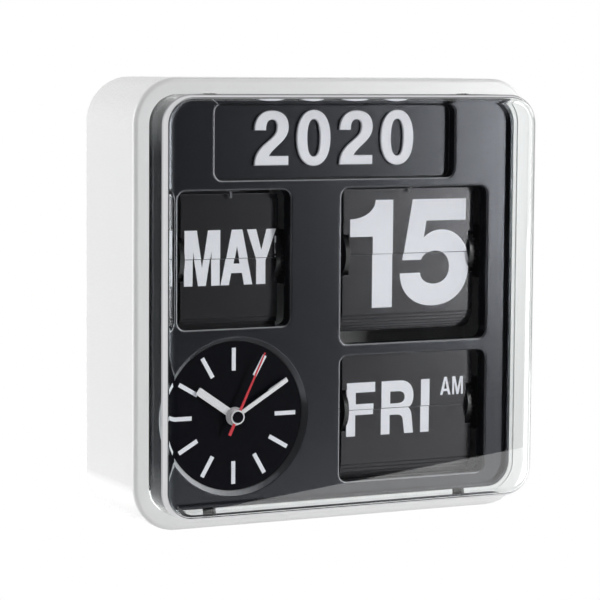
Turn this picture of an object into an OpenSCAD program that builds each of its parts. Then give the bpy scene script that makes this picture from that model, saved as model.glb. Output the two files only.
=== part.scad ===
// Flip wall clock: a white case with a clear box cover, a dark faceplate with three
// flip-leaf calendar modules, a year plate, and a small round dial with three hands.
// Each piece is drawn as the clock lies on its back on a bench: X to the right, Y up the
// dial, and Z the depth in front of the wall. upright() then stands it against the wall.

/* [Case] */
// Width of the case
case_w = 210; // [205:1:230]
// Height of the case
case_h = 210; // [208:1:230]
// Depth of the case from the wall to its front rim
case_depth = 60; // [58:0.5:80]
// Corner radius of the case, seen from the front
case_corner_r = 21.5; // [18:0.5:26]
// Wall of the case
case_wall = 2.6; // [2:0.1:3.2]
// Thickness of the front rim
rim_t = 2.6; // [2:0.1:3.5]
// Rounding of the front edge
rim_edge_r = 2.2; // [0.5:0.1:2.4]
// Rounding of the back edge
back_edge_r = 1; // [0.3:0.1:1.5]

/* [Clear cover] */
// Width of the front rim that shows around the cover
cover_margin = 7.5; // [6.5:0.1:9]
// How far the cover stands in front of the rim
cover_proud = 20.2; // [19.8:0.1:30]
// Thickness of the clear plastic
cover_t = 1.8; // [1.2:0.1:2]
// Rounding of the cover's front edge
cover_edge_r = 4; // [3:0.1:6]
// Rounding of the cover's inside edge
cover_inside_r = 0.5; // [0.3:0.1:1]
// Width of each snap tab
tab_w = 6; // [5:0.5:12]
// Distance of the snap tabs from the middle
tab_x = 67; // [40:1:75]

/* [Faceplate] */
// How far the face lies behind the case rim
face_setback = 2.5; // [1.5:0.1:4]
// Thickness of the face
face_t = 2; // [1.6:0.1:2.4]
// Thickness of the raised lip around the face
lip_t = 1.6; // [1:0.1:2.5]
// Wall of the window frames
collar_t = 1.5; // [1:0.1:2]
// Depth of the window frames behind the face
collar_d = 7.3; // [6:0.1:7.4]
// Corner radius of the windows
window_r = 4.2; // [2:0.1:5]
// Rounding of the windows' front edges
window_edge_r = 0.8; // [0.3:0.1:1.2]

/* [Windows] */
// Face left between the lip and the windows at both sides
window_side = 11.3; // [8:0.1:14]
// Face left between the month window and the date window
mullion_w = 26.8; // [24:0.1:32]
// Month window: width
month_window_w = 58; // [54:0.5:62]
// Month window: how far its top lies below the date window's top
month_window_drop = 0.35; // [0:0.05:1]
// Face left between the year recess and the date window
year_gap = 4.3; // [3.2:0.1:6]
// Face left between the month window and the dial ring
dial_gap = 4.05; // [3.2:0.05:6]
// Face left between the date and weekday windows
window_gap = 5.5; // [4:0.1:7]
// Weekday window: height
weekday_window_h = 61; // [58:0.5:63]
// Face left below the weekday window
weekday_margin = 5.3; // [4:0.1:7]

/* [Year plate] */
// Width of the year recess
year_w = 127.6; // [100:0.5:135]
// Height of the year recess
year_h = 35.6; // [30:0.2:36.4]
// Face left above the year recess
year_margin = 0.9; // [0.4:0.1:2]
// Depth of the year recess
year_d = 6.5; // [4:0.1:8]
// Thickness of the loose year plate
year_plate_t = 1.6; // [1:0.1:2]

/* [Flip leaves] */
// How far the month leaves lie to the right of their window's middle
month_leaf_shift = 1; // [0:0.1:1.2]
// How far the date and weekday leaves lie to the right of their windows' middle
date_leaf_shift = 1.1; // [0:0.1:1.3]
// Split line of the month and date leaves above the date window's middle
upper_split_rise = 4.8; // [3:0.1:6]
// Split line of the weekday leaves above their window's middle
weekday_split_rise = 2.8; // [1:0.1:4]
// Room beside the month leaves in their window
month_leaf_side = 4; // [3.6:0.1:6]
// Room beside the date and weekday leaves in their windows
date_leaf_side = 4.2; // [3.8:0.1:6]
// Room above the month leaves in their window
month_leaf_top = 4.31; // [3:0.01:6]
// Room above the date leaves in their window
date_leaf_top = 3; // [2:0.1:5]
// Room above the weekday leaves in their window
weekday_leaf_top = 1.04; // [0.8:0.01:3]
// Number of month leaves
month_leaves = 24; // [20:2:28]
// Number of date leaves
date_leaves = 31; // [27:2:33]
// Number of weekday leaves
weekday_leaves = 28; // [24:2:32]
// Thickness of a leaf
leaf_t = 0.25; // [0.2:0.01:0.28]
// Depth of the front leaf behind the face
leaf_setback = 8.1; // [8:0.1:9]
// Radius of the leaf pivots around the drum axle
pivot_r = 9.5; // [9:0.1:11]
// Depth of the notch at each end of a month leaf, where the drum rim shows
month_notch_w = 1.6; // [1.2:0.1:3]
// Depth of the notch at each end of a date or weekday leaf
date_notch_w = 3.1; // [2.6:0.1:4]
// Length of the notches
notch_l = 9; // [8.6:0.1:11]

/* [Flip drives] */
// Radius of the drum axles
axle_r = 1.5; // [1.2:0.1:2]
// Thickness of the drum rims
rim_w = 2.3; // [2:0.1:2.6]
// Gear tooth module
gear_module = 0.8; // [0.7:0.05:0.9]
// Teeth on the drum gear
gear_teeth = 24; // [20:2:28]
// Teeth on the motor pinion
pinion_teeth = 10; // [8:2:14]
// Thickness of the gears
gear_t = 1.6; // [1:0.1:2]
// Sheet thickness of the brackets
bracket_t = 1.5; // [1:0.1:2]
// Height of the brackets
bracket_h = 26; // [22:0.5:30]
// Radius of the drive motors
motor_r = 8; // [6:0.5:10]
// Length of the drive motors
motor_l = 11; // [8:0.5:14]

/* [Dial] */
// How far the dial lies to the right of the month window's middle
dial_shift = 0.9; // [0:0.1:2]
// Face left below the dial ring
dial_margin = 2.7; // [2:0.1:5]
// Radius of the dial
dial_r = 35.2; // [32:0.1:36]
// Outer radius of the sloping ring around the dial
bezel_r = 37.6; // [36.5:0.1:38.2]
// Depth of the dial behind the face
dial_d = 2.7; // [2.2:0.1:3.5]
// Outer end of the hour marks
mark_outer_r = 32.3; // [28:0.1:33]
// Length of the hour marks
mark_l = 10.8; // [6:0.1:14]
// Width of the hour marks
mark_w = 2; // [1:0.1:3]
// Length of the hour hand
hour_l = 23; // [18:0.1:26]
// Width of the hour hand
hour_w = 3.8; // [2:0.1:5]
// Length of the minute hand
minute_l = 31.2; // [26:0.1:33]
// Width of the minute hand
minute_w = 2; // [1.2:0.1:3]
// Length of the second hand
second_l = 33; // [28:0.1:33.5]
// Tail of the second hand
second_tail = 9.4; // [6:0.1:12]
// Radius of the cap over the second hand
cap_r = 2.7; // [2.2:0.1:3.5]

/* [Movement] */
// Side of the square movement
movement_side = 56; // [50:1:57]
// Thickness of the movement
movement_t = 16; // [12:0.5:18]
// Radius of the setting knob
knob_r = 7; // [5:0.5:8]
// Knob's distance to the right of the dial middle
knob_dx = 16; // [10:0.5:20]
// Knob's distance above the dial middle
knob_dy = 7; // [4:0.5:12]

/* [Rear cover and battery bay] */
// Thickness of the rear cover
rear_t = 2.5; // [2.2:0.1:3]
// Length of a battery cell
cell_l = 50.5; // [44:0.1:50.5]
// Radius of a battery cell
cell_r = 7.25; // [5.2:0.05:7.25]
// Distance of the battery bay's middle from the side of the case
bay_side = 52; // [48:0.5:58]
// Distance of the battery bay's middle from the bottom of the case
bay_rise = 24; // [22:0.2:28]
// Radius of the keyhole's entry hole
keyhole_r = 4.5; // [3.5:0.1:5]
// Half width of the keyhole's slot
keyhole_slot_r = 2.2; // [1.5:0.1:2.5]
// Length of the keyhole's slot
keyhole_l = 8; // [6:0.5:10]
// Distance of the keyhole's entry hole from the top of the case
keyhole_drop = 22; // [19:0.5:26]
// Radius of a setting button
button_r = 3.5; // [2.5:0.1:4.5]
// Spacing of the setting buttons
button_pitch = 24; // [14:1:30]
// Distance of the setting buttons from the top of the case
button_drop = 39; // [36:0.5:43]
// Travel of the setting buttons
button_travel = 0.8; // [0.4:0.1:1]

/* [Clearances] */
// Gap between parts that are put together by hand
fit_gap = 0.3; // [0.2:0.05:0.4]
// Radial gap of a turning shaft
run_gap = 0.05; // [0.03:0.01:0.08]
// Gap of the falling leaf to what it passes
leaf_gap = 0.4; // [0.3:0.05:0.6]
// Split between the front leaf and the one that hangs below it
leaf_split = 0.3; // [0.25:0.05:0.6]
// Gap between the brackets and the rear cover
module_gap = 0.5; // [0.4:0.1:2]

/* [Hidden] */
$fn = 64;
over = 0.5;

// Outlines and depths of the case, cover and face
cover_w = case_w - 2 * cover_margin;
cover_h = case_h - 2 * cover_margin;
cover_r = case_corner_r - cover_margin;
opening_inset = cover_margin - fit_gap;
cover_front = case_depth + cover_proud;
lip_inset = cover_margin + cover_t + fit_gap;
flange_inset = case_wall + fit_gap;
face_front = case_depth - face_setback;
face_back = face_front - face_t;
flange_front = case_depth - rim_t - fit_gap;
ledge_inset = lip_inset - fit_gap;
ledge_sink = 0.5;
ledge_t = rim_t - ledge_sink;
cover_back = case_depth - rim_t + ledge_t + fit_gap;
lip_front = case_depth - fit_gap;
collar_back = face_front - collar_d;
year_floor = face_front - year_d;
dial_front = face_front - dial_d;
dial_t = 1.5;
dial_back = dial_front - dial_t;
tab_l = 3.4;
tab_barb = 0.8;
bezel_wall = 1.5;
dial_seat = 1.2;
dial_hole_gap = 0.5;
pilot_blind = 0.4;
screw_gap = 0.2;
end_play = 0.2;
hour_boss = 1.9;
minute_boss = 2.2;
cap_seat = 0.6;
knob_sunk = 2.5;
knob_reach = 4.5;
grip_start = 3;
grip_pitch = 2.4;

// Layout of the face inside its lip: the year recess hangs from the top, the dial and the
// weekday window stand at the bottom, and the month and date windows fill what is left
face_half_w = case_w / 2 - lip_inset - lip_t;
face_half_h = case_h / 2 - lip_inset - lip_t;
year_y = face_half_h - year_margin - year_h / 2;
dial_y = dial_margin + bezel_r - face_half_h;
month_window_x = window_side + month_window_w / 2 - face_half_w;
dial_x = month_window_x + dial_shift;
date_window_w = 2 * (face_half_w - window_side) - month_window_w - mullion_w;
date_window_x = face_half_w - window_side - date_window_w / 2;
date_window_top = year_y - year_h / 2 - year_gap;
month_window_top = date_window_top - month_window_drop;
month_window_h = month_window_top - dial_y - bezel_r - dial_gap;
month_window_y = month_window_top - month_window_h / 2;
weekday_window_y = weekday_margin + weekday_window_h / 2 - face_half_h;
weekday_window_top = weekday_window_y + weekday_window_h / 2;
date_window_h = date_window_top - weekday_window_top - window_gap;
date_window_y = date_window_top - date_window_h / 2;

// Case posts, and the screws along the face's flange
post_r = 4;
post_inset = 12.5;
post_gap = 5;
post_front = face_back - post_gap;
post_hole_d = 12;
post_x = case_w / 2 - post_inset;
post_y = case_h / 2 - post_inset;
screw_r = 1.4;
screw_head_r = 2.8;
flange_screw_r = 1;
flange_pilot_r = 0.8;
flange_screw_head_r = 1.8;
flange_screw_inset = (opening_inset + case_wall) / 2;
flange_screw_at = 58;

// Flip modules. A leaf is as long as its window, the cover in front of it and the rear
// cover behind it leave room for: it swings past the pane, and fans out over the drum.
leaf_d = face_front - leaf_setback;
leaf_lead = leaf_gap;
axle_d = leaf_d - leaf_lead - pivot_r;
pane_room = cover_front - cover_t - leaf_d - leaf_gap;
rear_room = axle_d - rear_t - module_gap - bracket_t - 2 * leaf_gap;
function fan_length(count) =
    sqrt(rear_room ^ 2 - (pivot_r * cos(540 / count)) ^ 2) - pivot_r * sin(540 / count);
function leaf_length(top, split, count) =
    min(top - split - pivot_r * sin(180 / count), pane_room, fan_length(count));
upper_split_y = date_window_y + upper_split_rise;
weekday_split_y = weekday_window_y + weekday_split_rise;
month_leaf_w = month_window_w - 2 * month_leaf_side;
date_leaf_w = date_window_w - 2 * date_leaf_side;
month_leaf_l = leaf_length(month_window_top - month_leaf_top, upper_split_y, month_leaves);
date_leaf_l = leaf_length(date_window_top - date_leaf_top, upper_split_y, date_leaves);
weekday_leaf_l =
    leaf_length(weekday_window_top - weekday_leaf_top, weekday_split_y, weekday_leaves);

// Each module: middle across, split line, leaf width, leaf length, number of leaves, notch
MONTH = [month_window_x + month_leaf_shift, upper_split_y, month_leaf_w, month_leaf_l,
         month_leaves, month_notch_w];
DATE = [date_window_x + date_leaf_shift, upper_split_y, date_leaf_w, date_leaf_l,
        date_leaves, date_notch_w];
WEEKDAY = [date_window_x + date_leaf_shift, weekday_split_y, date_leaf_w, weekday_leaf_l,
           weekday_leaves, date_notch_w];
ear_l = 0.9;
ear_h = 1.2;
groove_w = 1.2;
groove_in = 0.9;
groove_out = 1;
drum_lip = 1.1;
groove_inner_r = pivot_r - groove_in;
groove_outer_r = pivot_r + leaf_lead + groove_out;
drum_rim_r = groove_outer_r + drum_lip;
hub_r = 5;
boss_r = 4;
gear_side_gap = 1;
plate_gap = 0.6;
function half_w(m) = m[2] / 2;
function step_angle(m) = 360 / m[4];
function narrow_x(m) = half_w(m) - m[5];
function rim_x(m) = narrow_x(m) + fit_gap;
function gear_x(m) = rim_x(m) + rim_w + gear_side_gap;
function plate_x(m) = gear_x(m) + gear_t + plate_gap;
function motor_x(m) = plate_x(m) + bracket_t;
function half_step(m) = pivot_r * sin(step_angle(m) / 2);
function hinge_y(m) = m[1] + half_step(m);
function leaf_edge(m) = half_step(m) - leaf_split / 2;
function envelope_r(m) =
    sqrt(pivot_r ^ 2 + m[3] ^ 2 + 2 * pivot_r * m[3] * sin(1.5 * step_angle(m)));
function bracket_back(m) = axle_d - envelope_r(m) - 2 * leaf_gap - bracket_t;

// Gear train of a drum: the pinion lies straight behind the axle
gear_r = gear_module * gear_teeth / 2;
pinion_r = gear_module * pinion_teeth / 2;
pinion_d = axle_d - gear_r - pinion_r;
shaft_r = 0.75;
tooth_play = 0.25;

// Bracket feet and their bosses on the face
foot_l = 9;
foot_hole_x = 5;
foot_hole_inset = 4;
foot_hole_y = bracket_h / 2 - foot_hole_inset;
foot_gap = 0.7;
foot_front = collar_back - foot_gap;
bracket_frame_w = 8;
bracket_frame_h = 6;
bracket_window_r = 3;
boss_screw_r = 1.1;
face_boss_r = 3.2;
pilot_r = 0.9;

// Hands, arbors and movement
hand_clear = 1.1;
hand_t = 0.6;
second_t = 0.4;
cap_t = 1.1;
hand_gap = 1;
hour_back = dial_front + hand_clear;
hour_front = hour_back + hand_t;
minute_back = hour_front + hand_gap;
minute_front = minute_back + hand_t;
second_back = minute_front + hand_gap;
second_front = second_back + second_t;
cap_front = second_front + cap_t;
hour_angle = 304.5;
minute_angle = 58.5;
second_angle = 25.5;
hour_tube_r = 2.5;
minute_tube_r = 1.8;
second_pin_r = 0.9;
arbor_l = 8;
arbor_back = dial_back - arbor_l;
press_gap = 0.02;
movement_back = dial_back - movement_t;
movement_ear_r = 4;
movement_ear_t = 2;
movement_ear_out = 2.4;
movement_ear_at = movement_side / 2 + movement_ear_out;
knob_x = dial_x + knob_dx;
knob_y = dial_y + knob_dy;
knob_stem_r = 1.5;
finger_gap = 2;
knob_well_r = knob_r + finger_gap;
knob_well_d = 9;
knob_back = 0.6;
well_t = 1.2;

// Battery bay, cells and door
bay_x = bay_side - case_w / 2;
bay_y = bay_rise - case_h / 2;
contact_room = 1.6;
cell_play = 0.6;
bay_w = cell_l + 2 * contact_room;
bay_h = 4 * cell_r + 3 * cell_play;
bay_t = 1.5;
door_back = 0.3;
door_t = 1.6;
cell_d = door_back + door_t + cell_play + cell_r;
floor_gap = 0.4;
bay_floor = cell_d + cell_r + floor_gap;
hinge_r = 1.1;
hinge_pin_r = 0.7;
hinge_pin_l = 1.5;
hinge_drop = 1.5;
door_axis_y = bay_y + bay_h / 2 - hinge_drop;
door_axis_d = door_back + hinge_r;
door_w = bay_w - 2 * fit_gap;

// Control board behind the year recess
board_w = 84;
board_h = 38;
board_t = 1.6;
board_drop = 28;
board_y = case_h / 2 - board_drop;
board_back = 10;
board_post_r = 3;
board_post_inset = 5;
board_post_x = board_w / 2 - board_post_inset;
board_post_y = board_h / 2 - board_post_inset;
button_y = case_h / 2 - button_drop;
keyhole_y = case_h / 2 - keyhole_drop;
switch_side = 6;
button_back = 0.4;
switch_t = 2;
button_flange_t = 1;
button_flange_out = 1.2;
switch_back = board_back - switch_t;

// Rear cover screws
rear_screw_l = 10;
rear_screw_sink = 0.3;
screw_head_t = 1;
small_head_r = 2;
small_head_t = 1.2;

// Stands the bench drawing up: depth becomes -Y, and up the dial becomes +Z
module upright() {
    rotate([90, 0, 0]) children();
}

// Flat outline raised from one depth to another
module slab(back, front) {
    translate([0, 0, back]) linear_extrude(front - back) children();
}

// Round bar along the depth
module post(x, y, r, back, front) {
    translate([x, y, back]) cylinder(r = r, h = front - back);
}

// Round bar along the width
module cross_bar(x0, x1, y, d, r) {
    translate([x0, y, d]) rotate([0, 90, 0]) cylinder(r = r, h = x1 - x0);
}

module round_rect(w, h, r) {
    square([w - 2 * r, h], center = true);
    square([w, h - 2 * r], center = true);
    for (x = [-1, 1], y = [-1, 1])
        translate([x * (w / 2 - r), y * (h / 2 - r)]) circle(r);
}

module round_ring(w, h, r, t) {
    difference() {
        round_rect(w, h, r);
        round_rect(w - 2 * t, h - 2 * t, r - t);
    }
}

// Outline of the case drawn in by a distance
module case_outline(inset) {
    round_rect(case_w - 2 * inset, case_h - 2 * inset, case_corner_r - inset);
}

// Carries a profile round a rounded rectangle: profile X points outwards, profile Y is depth
module swept_frame(w, h, r) {
    for (side = [0:3]) {
        across = side % 2 == 0 ? w : h;
        along = side % 2 == 0 ? h : w;
        rotate([0, 0, 90 * side]) {
            translate([across / 2, along / 2 - r, 0])
                rotate([90, 0, 0]) linear_extrude(along - 2 * r) children();
            translate([across / 2 - r, along / 2 - r, 0])
                rotate_extrude(angle = 90) translate([r, 0]) children();
        }
    }
}

// What a rounded edge takes off a square corner at the origin, filling +X and +Y
module edge_waste(r) {
    difference() {
        square([r + over, r + over]);
        circle(r);
    }
}

// Visits the same place in all four corners
module in_corners(x, y) {
    for (sx = [-1, 1], sy = [-1, 1]) translate([sx * x, sy * y, 0]) children();
}

// White moulded case: a side wall, an inturned front rim with a ledge for the cover, and four posts
module case_profile() {
    difference() {
        union() {
            translate([-case_wall, 0]) square([case_wall, case_depth]);
            translate([-opening_inset, case_depth - rim_t]) square([opening_inset, rim_t]);
            translate([-ledge_inset, case_depth - rim_t]) square([ledge_inset, ledge_t]);
        }
        translate([-rim_edge_r, case_depth - rim_edge_r]) edge_waste(rim_edge_r);
        translate([-back_edge_r, back_edge_r]) mirror([0, 1]) edge_waste(back_edge_r);
    }
}

module case_posts() {
    in_corners(post_x, post_y) post(0, 0, post_r, rear_t, post_front);
    for (sx = [-1, 1], sy = [-1, 1])
        translate([sx * post_x, sy * post_y, rear_t]) rotate([0, 0, atan2(sy, sx)])
            translate([0, -post_r / 2, 0]) cube([post_inset, post_r, post_front - rear_t]);
}

module case() {
    screw_skin = 0.8;
    color("white") upright() difference() {
        union() {
            swept_frame(case_w, case_h, case_corner_r) case_profile();
            intersection() {
                slab(rear_t, post_front) case_outline(case_wall / 2);
                case_posts();
            }
        }
        in_corners(post_x, post_y) post(0, 0, pilot_r, rear_t - over, rear_t + post_hole_d);
        flange_screw_spots() post(0, 0, flange_pilot_r, flange_front, case_depth - screw_skin);
        for (x = [-tab_x, tab_x], s = [0, 1]) mirror([0, s, 0])
            translate([x - tab_w / 2 - fit_gap, case_h / 2 - ledge_inset - over,
                       case_depth - rim_t - over])
                cube([tab_w + 2 * fit_gap, ledge_inset - opening_inset + over, ledge_t + 2 * over]);
    }
}

// Places of the small screws that hold the face behind the case rim
module flange_screw_spots() {
    for (s = [-1, 1], t = [-1, 1]) {
        translate([s * (case_w / 2 - flange_screw_inset), t * flange_screw_at, 0]) children();
        translate([t * flange_screw_at, s * (case_h / 2 - flange_screw_inset), 0]) children();
    }
}

// Clear box cover: side walls that turn into the front pane through a rounded edge
module cover_profile() {
    wall_front = cover_front - cover_edge_r;
    pane_back = cover_front - cover_t;
    difference() {
        union() {
            translate([-cover_edge_r, cover_back]) square([cover_edge_r, wall_front - cover_back]);
            translate([-cover_edge_r, wall_front]) intersection() {
                circle(cover_edge_r);
                square(cover_edge_r + over);
            }
        }
        translate([-cover_edge_r - over, cover_back - over]) {
            square([cover_edge_r + over - cover_t, pane_back - cover_inside_r - cover_back + over]);
            square([cover_edge_r + over - cover_t - cover_inside_r, pane_back - cover_back + over]);
        }
        translate([-cover_t - cover_inside_r, pane_back - cover_inside_r]) circle(cover_inside_r);
    }
}

module clear_cover() {
    tab_back = face_back - tab_l;
    color([0.85, 0.92, 0.92, 0.35]) upright() {
        swept_frame(cover_w, cover_h, cover_r) cover_profile();
        slab(cover_front - cover_t, cover_front)
            round_rect(cover_w - 2 * cover_edge_r, cover_h - 2 * cover_edge_r, cover_r - cover_edge_r);
        for (x = [-tab_x, tab_x], s = [0, 1]) mirror([0, s, 0]) {
            translate([x - tab_w / 2, cover_h / 2 - cover_t, tab_back])
                cube([tab_w, cover_t, cover_back + over - tab_back]);
            translate([x - tab_w / 2, cover_h / 2, tab_back])
                cube([tab_w, tab_barb, face_back - fit_gap - tab_back]);
        }
    }
}

// Dark faceplate: a lipped tray with window frames, a year recess and a sloping dial ring
module window_places() {
    translate([month_window_x, month_window_y, 0]) children(0);
    translate([date_window_x, date_window_y, 0]) children(1);
    translate([date_window_x, weekday_window_y, 0]) children(2);
}

module window_frame(w, h) {
    slab(collar_back, face_front)
        round_rect(w + 2 * collar_t, h + 2 * collar_t, window_r + collar_t);
}

module window_cut(w, h) {
    slab(collar_back - over, face_front + over) round_rect(w, h, window_r);
    swept_frame(w, h, window_r) translate([window_edge_r, face_front - window_edge_r])
        mirror([1, 0]) edge_waste(window_edge_r);
}

module foot_spots(m) {
    for (s = [-1, 1], t = [-1, 1])
        translate([m[0] + s * (motor_x(m) + foot_hole_x), m[1] + t * foot_hole_y, 0]) children();
}

module movement_spots() {
    for (s = [-1, 1])
        translate([dial_x + s * movement_ear_at, dial_y + s * movement_ear_at, 0]) children();
}

module faceplate() {
    slope = (bezel_r - dial_r) / dial_d;
    color("#2c2d35") upright() difference() {
        union() {
            slab(face_back, flange_front) case_outline(flange_inset);
            slab(face_back, face_front) case_outline(lip_inset);
            slab(face_back, lip_front)
                round_ring(case_w - 2 * lip_inset, case_h - 2 * lip_inset,
                           case_corner_r - lip_inset, lip_t);
            window_places() {
                window_frame(month_window_w, month_window_h);
                window_frame(date_window_w, date_window_h);
                window_frame(date_window_w, weekday_window_h);
            }
            translate([0, year_y, 0]) slab(year_floor - face_t, face_front)
                round_rect(year_w + 2 * collar_t, year_h + 2 * collar_t, window_r + collar_t);
            post(dial_x, dial_y, bezel_r + bezel_wall, dial_front, face_front);
            for (m = [MONTH, DATE, WEEKDAY])
                foot_spots(m) post(0, 0, face_boss_r, foot_front, face_front - over);
            movement_spots() post(0, 0, face_boss_r, dial_back, face_front - over);
        }
        window_places() {
            window_cut(month_window_w, month_window_h);
            window_cut(date_window_w, date_window_h);
            window_cut(date_window_w, weekday_window_h);
        }
        translate([0, year_y, 0]) {
            slab(year_floor, face_front + over) round_rect(year_w, year_h, window_r);
            swept_frame(year_w, year_h, window_r)
                translate([window_edge_r, face_front - window_edge_r])
                    mirror([1, 0]) edge_waste(window_edge_r);
        }
        translate([dial_x, dial_y, dial_front - over])
            cylinder(r1 = dial_r - slope * over, r2 = bezel_r + slope * over, h = dial_d + 2 * over);
        for (m = [MONTH, DATE, WEEKDAY])
            foot_spots(m) post(0, 0, pilot_r, foot_front - over, face_back);
        movement_spots() post(0, 0, pilot_r, dial_back - over, face_back + pilot_blind);
        flange_screw_spots() post(0, 0, flange_screw_r + screw_gap, face_back - over, flange_front + over);
        for (x = [-tab_x, tab_x], s = [0, 1]) mirror([0, s, 0])
            translate([x - tab_w / 2 - fit_gap, cover_h / 2 - cover_t - fit_gap, face_back - over])
                cube([tab_w + 2 * fit_gap, cover_t + tab_barb + 2 * fit_gap, rim_t + face_t + over]);
    }
}

// Loose plate in the year recess, exchanged once a year
module year_plate() {
    color("#303138") upright() translate([0, year_y, 0])
        slab(year_floor, year_floor + year_plate_t)
            round_rect(year_w - 2 * fit_gap, year_h - 2 * fit_gap, window_r - fit_gap);
}

// Black dial disc behind the sloping ring
module dial() {
    color("#0a0a12") upright() difference() {
        post(dial_x, dial_y, bezel_r + dial_seat, dial_back, dial_front);
        post(dial_x, dial_y, hour_tube_r + dial_hole_gap, dial_back - over, dial_front + over);
    }
}

// Twelve plain white bars on the dial
module hour_markers() {
    mark_t = 0.2;
    color("white") upright() translate([dial_x, dial_y, dial_front]) for (hour = [0:11])
        rotate([0, 0, -30 * hour]) translate([-mark_w / 2, mark_outer_r - mark_l, 0])
            cube([mark_w, mark_l, mark_t]);
}

// Hand outline with a round hub, pointing up the dial at twelve
module hand(l, w, hub, hole, back, front) {
    tip_r = 0.6;
    slab(back, front) difference() {
        union() {
            circle(hub);
            translate([0, l / 2]) round_rect(w, l, tip_r);
        }
        circle(hole);
    }
}

module hour_hand() {
    color("#d6d8da") upright() translate([dial_x, dial_y, 0]) rotate([0, 0, -hour_angle])
        hand(hour_l, hour_w, hour_tube_r + hour_boss, hour_tube_r + press_gap, hour_back, hour_front);
}

module minute_hand() {
    color("#dadcde") upright() translate([dial_x, dial_y, 0]) rotate([0, 0, -minute_angle])
        hand(minute_l, minute_w, minute_tube_r + minute_boss, minute_tube_r + press_gap,
             minute_back, minute_front);
}

module second_hand() {
    tail_w = 1.5;
    tip_w = 0.6;
    color("#d9303c") upright() translate([dial_x, dial_y, 0]) rotate([0, 0, -second_angle])
        slab(second_back, second_front) difference() {
            union() {
                circle(cap_r - cap_seat);
                polygon([[-tail_w / 2, -second_tail], [tail_w / 2, -second_tail],
                         [tip_w / 2, second_l], [-tip_w / 2, second_l]]);
            }
            circle(second_pin_r + press_gap);
        }
}

module second_cap() {
    round_r = 0.5;
    color("#141416") upright() translate([dial_x, dial_y, 0]) rotate_extrude() {
        translate([0, second_front]) square([cap_r - round_r, cap_front - second_front]);
        translate([0, second_front]) square([cap_r, cap_front - second_front - round_r]);
        translate([cap_r - round_r, cap_front - round_r]) circle(round_r, $fn = 32);
    }
}

// Quartz movement behind the dial, with two screw ears and a bore for its three arbors
module movement() {
    case_r = 4;
    color("#1d1d20") upright() difference() {
        union() {
            translate([dial_x, dial_y, 0]) slab(movement_back, dial_back)
                round_rect(movement_side, movement_side, case_r);
            movement_spots() post(0, 0, movement_ear_r, dial_back - movement_ear_t, dial_back);
        }
        post(dial_x, dial_y, hour_tube_r + run_gap, arbor_back - end_play, dial_back + over);
        post(knob_x, knob_y, knob_stem_r + run_gap, movement_back - over, movement_back + 5);
        movement_spots() post(0, 0, boss_screw_r, dial_back - movement_ear_t - over, dial_back + over);
    }
}

// Three arbors, one inside the other
module arbor_tube(outer, inner, front) {
    difference() {
        post(dial_x, dial_y, outer, arbor_back, front);
        post(dial_x, dial_y, inner, arbor_back - over, front + over);
    }
}

module hour_tube() {
    color("#b9a36a") upright() arbor_tube(hour_tube_r, minute_tube_r + run_gap, hour_front);
}

module minute_arbor() {
    color("#b9a36a") upright() arbor_tube(minute_tube_r, second_pin_r + run_gap, minute_front);
}

module second_arbor() {
    color("#c8c8cc") upright() post(dial_x, dial_y, second_pin_r, arbor_back, second_front);
}

// Knurled knob at the back that sets the hands
module time_set_knob() {
    knurls = 18;
    knurl_r = 0.6;
    knob_t = knob_well_d - knob_sunk;
    color("#26262a") upright() translate([knob_x, knob_y, 0]) difference() {
        union() {
            post(0, 0, knob_r, knob_back, knob_back + knob_t);
            post(0, 0, knob_stem_r, knob_back, movement_back + knob_reach);
        }
        for (i = [0:knurls - 1]) rotate([0, 0, i * 360 / knurls])
            post(knob_r + 0.2, 0, knurl_r, knob_back - over, knob_back + knob_t + over);
    }
}

// Flip module bracket: one hat-shaped strip of sheet, open to the front
module flip_bracket(m) {
    side = plate_x(m);
    out = motor_x(m);
    back = bracket_back(m);
    color("#3a3a3e") upright() translate([m[0], m[1], 0]) difference() {
        rotate([90, 0, 0]) linear_extrude(bracket_h, center = true) polygon([
            [-out - foot_l, foot_front], [-out - foot_l, foot_front - bracket_t],
            [-out, foot_front - bracket_t], [-out, back], [out, back],
            [out, foot_front - bracket_t], [out + foot_l, foot_front - bracket_t],
            [out + foot_l, foot_front], [side, foot_front], [side, back + bracket_t],
            [-side, back + bracket_t], [-side, foot_front]]);
        cross_bar(-out - over, out + over, 0, axle_d, axle_r + press_gap);
        cross_bar(side - over, out + over, 0, pinion_d, shaft_r + 0.5);
        for (s = [-1, 1], t = [-1, 1])
            post(s * (out + foot_hole_x), t * foot_hole_y, boss_screw_r,
                 foot_front - bracket_t - over, foot_front + over);
        slab(back - over, back + bracket_t + over)
            round_rect(2 * (side - bracket_frame_w), bracket_h - 2 * bracket_frame_h,
                       bracket_window_r);
    }
}

module flip_axle(m) {
    head_t = 0.8;
    out = motor_x(m);
    color("#c4c6ca") upright() translate([m[0], m[1], 0]) {
        cross_bar(-out, out, 0, axle_d, axle_r);
        for (s = [0, 1]) mirror([s, 0, 0])
            cross_bar(out, out + head_t, 0, axle_d, axle_r + 1);
    }
}

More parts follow.
